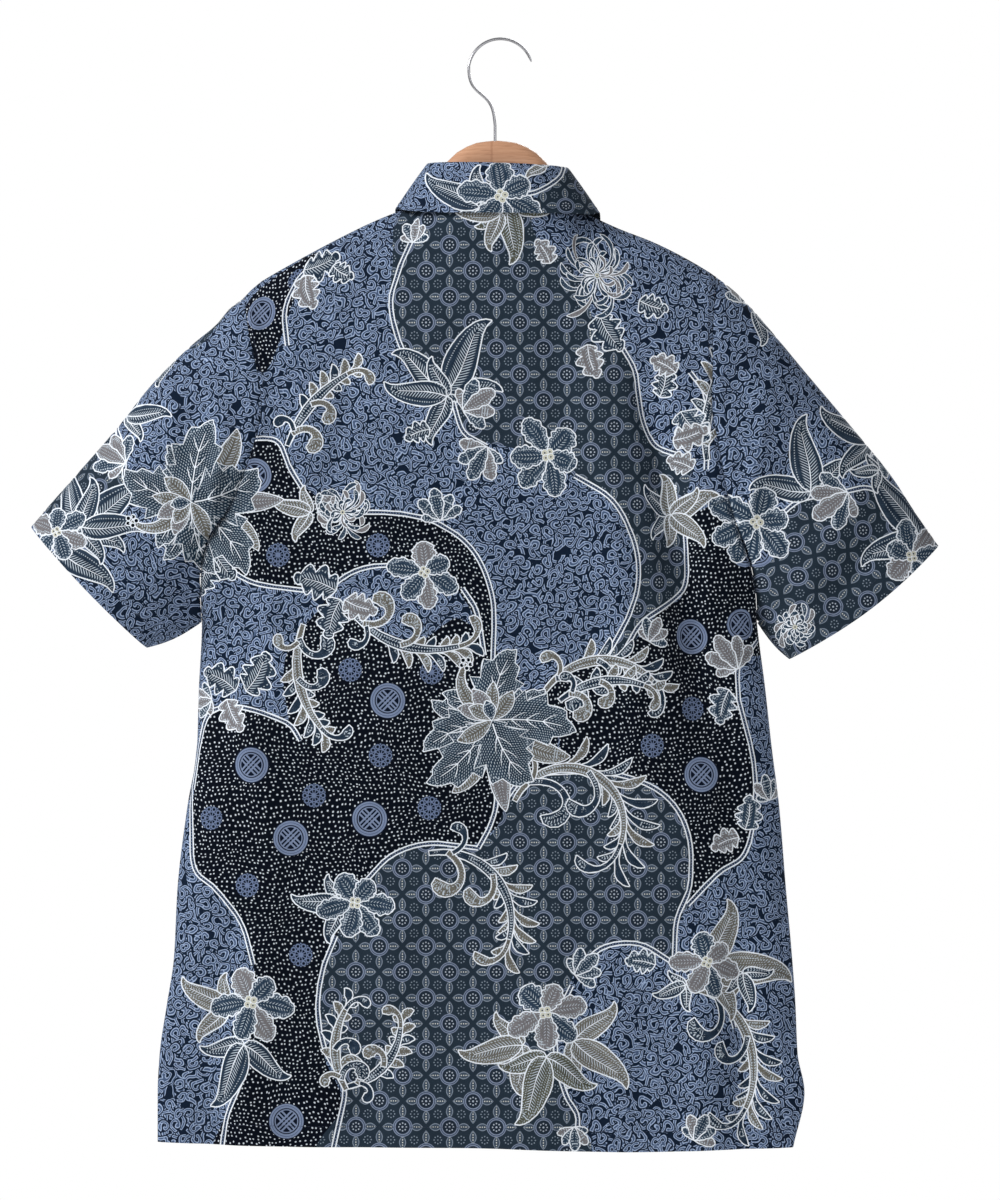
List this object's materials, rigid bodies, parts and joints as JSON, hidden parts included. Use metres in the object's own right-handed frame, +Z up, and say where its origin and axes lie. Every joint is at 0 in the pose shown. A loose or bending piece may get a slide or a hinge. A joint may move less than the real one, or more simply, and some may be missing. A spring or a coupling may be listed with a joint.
{
  "type": "batik shirt on a clothes hanger",
  "caption": "Short-sleeved batik shirt with a turned-down collar and buttoned front, hanging on a wooden hanger with a wire hook.",
  "frame": {"origin": "the inner top of the hanger's hook, where a rail carries it", "axes": "+Z up, +X to the right of someone who faces the shirt's back, +Y out of its buttoned front"},
  "size_m": [0.7492, 0.0931, 0.9218],
  "materials": {
    "batik_cloth": "matt cotton with a printed slate, indigo and off-white batik",
    "button_resin": "dark slate, softly polished",
    "hanger_wood": "light orange-brown, satin lacquer",
    "steel_wire": "bright plated wire"
  },
  "bodies": {
    "root": {"back_panel": "batik_cloth", "front_left": "batik_cloth", "front_right": "batik_cloth", "sleeve_left": "batik_cloth", "sleeve_right": "batik_cloth", "collar_stand": "batik_cloth", "collar_fall": "batik_cloth", "button_stand": "button_resin", "button_front_1": "button_resin", "button_front_2": "button_resin", "button_front_3": "button_resin", "button_front_4": "button_resin", "button_front_5": "button_resin", "button_front_6": "button_resin", "hanger_wood": "hanger_wood", "hanger_hook": "steel_wire"}
  },
  "joints": []
}
